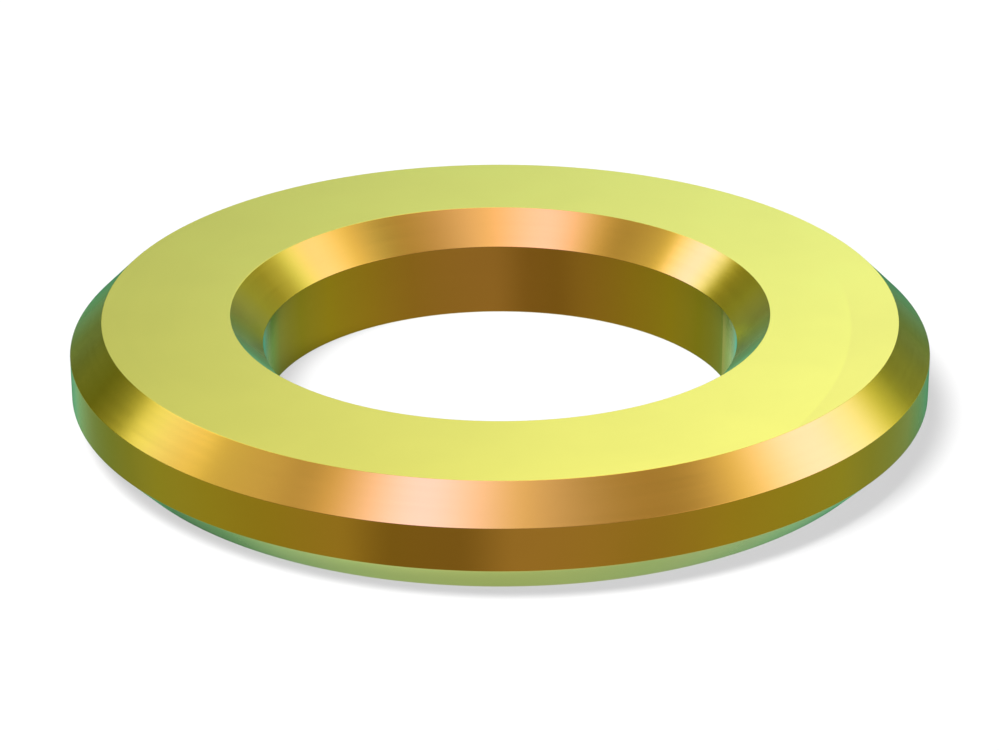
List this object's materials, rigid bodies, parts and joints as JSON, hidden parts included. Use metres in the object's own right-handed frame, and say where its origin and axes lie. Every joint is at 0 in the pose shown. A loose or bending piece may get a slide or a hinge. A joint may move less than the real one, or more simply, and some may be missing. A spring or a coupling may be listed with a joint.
{
  "type": "structural washer",
  "caption": "Flat round structural washer with a bevelled rim and a bore countersunk on its upper side; spreads the load under a high-strength bolt's head or nut.",
  "frame": {"origin": "centre of the bore on the lower bearing face, which the washer rests on", "axes": "+Z along the bore axis, from the lower bearing face to the countersunk upper face; X and Y lie in the lower face, and the part is the same all the way round"},
  "size_m": [0.024, 0.024, 0.003],
  "materials": {
    "yellow_zinc": "bright yellow chromate over zinc plate on steel, iridescent"
  },
  "bodies": {
    "root": {"washer": "yellow_zinc"}
  },
  "joints": []
}
